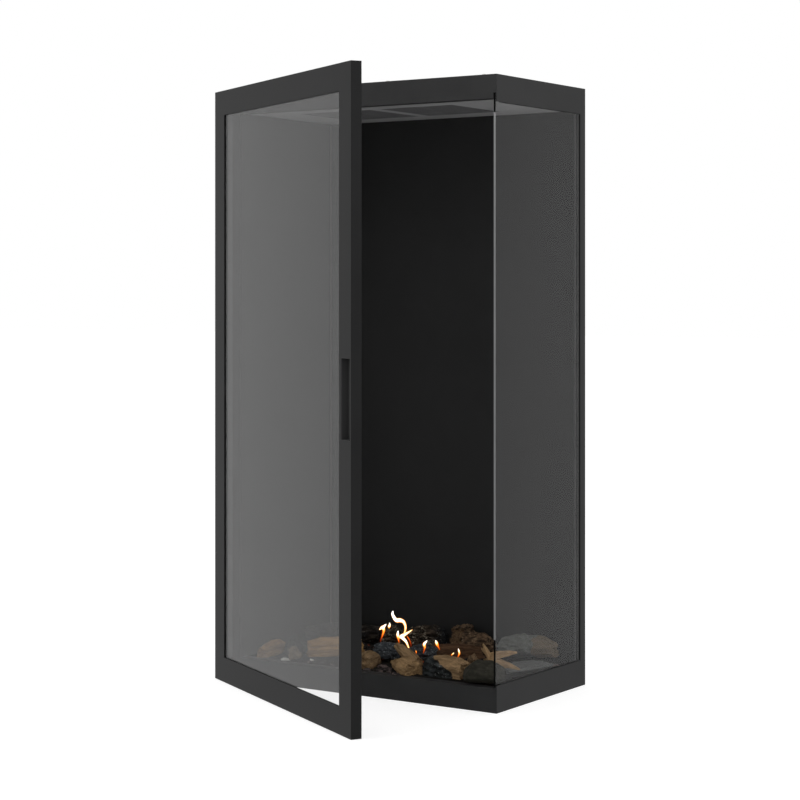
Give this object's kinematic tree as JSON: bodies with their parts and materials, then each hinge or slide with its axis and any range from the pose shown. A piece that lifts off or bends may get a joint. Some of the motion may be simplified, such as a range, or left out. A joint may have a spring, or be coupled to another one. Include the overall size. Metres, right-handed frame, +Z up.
{
  "type": "corner fireplace",
  "caption": "Two-sided built-in corner gas fireplace with a hinged glass front door, fixed side glass, ceramic log fire and concentric flue collars.",
  "frame": {"origin": "centre of the casing's flat underside", "axes": "+X to the right along the front, +Y from the front into the fire, +Z up"},
  "size_m": [0.6608, 0.6842, 1.228],
  "materials": {
    "casing_black": "matt black powder coat",
    "casing_steel": "zinc coated sheet, dull",
    "screw_steel": "zinc plated",
    "hinge_steel": "matt black",
    "washer_brass": "satin",
    "insulation_board": "pressed fibre, matt",
    "lining_black": "heat resistant matt black",
    "ceiling_steel": "heat resistant matt black",
    "grille_steel": "heat resistant matt black",
    "hood_steel": "bare sheet",
    "flue_steel": "brushed stainless",
    "clear_glass": "clear, polished",
    "door_clear_glass": "clear, polished",
    "glazing_seal": "woven glass tape, black",
    "retainer_steel": "matt black",
    "deck_steel": "heat resistant matt black",
    "burner_ceramic": "porous ceramic",
    "pipe_steel": "bright tube",
    "fitting_brass": "machined",
    "gland_rubber": "matt",
    "pilot_steel": "heat tinted",
    "electrode_ceramic": "glazed rod with steel tip",
    "magnet": "nickel plated",
    "embers": "granules, glowing in places",
    "bark": "flaked, matt",
    "log_tan": "split wood look, matt",
    "log_char": "charred, cracked",
    "log_bark": "rough bark look, matt",
    "log_olive": "rough bark look, matt",
    "log_brown": "split wood look, matt",
    "door_black": "matt black powder coat",
    "pull_black": "matt black"
  },
  "bodies": {
    "casing": {"front_sill": "casing_black", "front_header": "casing_black", "side_sill": "casing_black", "side_header": "casing_black", "hinge_post": "casing_black", "rear_post": "casing_black", "base_pan": "casing_steel", "left_casing": "casing_steel", "rear_casing": "casing_steel", "roof_casing": "casing_steel", "wall_brackets": "casing_steel", "roof_screws": "screw_steel", "hinge_brackets": "hinge_steel", "hinge_washers": "washer_brass", "left_insulation": "insulation_board", "left_lining": "lining_black", "back_lining": "lining_black", "ceiling_plate": "ceiling_steel", "ceiling_grilles": "grille_steel", "flue_hood": "hood_steel", "flue_collar_inner": "flue_steel", "flue_collar_outer": "flue_steel", "side_glass": "clear_glass", "side_glass_seal": "glazing_seal", "side_glass_retainers": "retainer_steel", "burner_deck": "deck_steel", "burner_tray": "deck_steel", "burner_plate": "burner_ceramic", "gas_manifold": "pipe_steel", "gas_inlet_fitting": "fitting_brass", "lead_gland": "gland_rubber", "pilot_burner": "pilot_steel", "spark_electrode": "electrode_ceramic", "flame_sensor": "electrode_ceramic", "catch_magnets": "magnet", "ember_bed": "embers", "bark_chips": "bark", "log_front_left": "log_tan", "log_split_tan": "log_tan", "log_forked": "log_tan", "logs_left_end": "log_tan", "logs_charcoal": "log_char", "log_side_charcoal": "log_char", "log_bark_front": "log_bark", "log_back_left": "log_bark", "logs_back_bark": "log_bark", "log_back_right": "log_bark", "log_olive_corner": "log_olive", "logs_cross_red": "log_brown", "logs_back_brown": "log_brown"},
    "door": {"door_top_rail": "door_black", "door_bottom_rail": "door_black", "door_hinge_stile": "door_black", "door_lock_stile": "door_black", "door_pull": "pull_black", "door_glass": "door_clear_glass", "door_glass_seal": "glazing_seal", "door_seal": "glazing_seal", "door_glass_retainers": "retainer_steel", "door_knuckles": "hinge_steel"}
  },
  "joints": [
    {"name": "door_hinge", "type": "hinge", "parent": "casing", "child": "door", "pos_m": [-0.325, -0.1725, 0.6], "axis": [0, 0, -1], "range_deg": [-29.5, 60.5]}
  ]
}
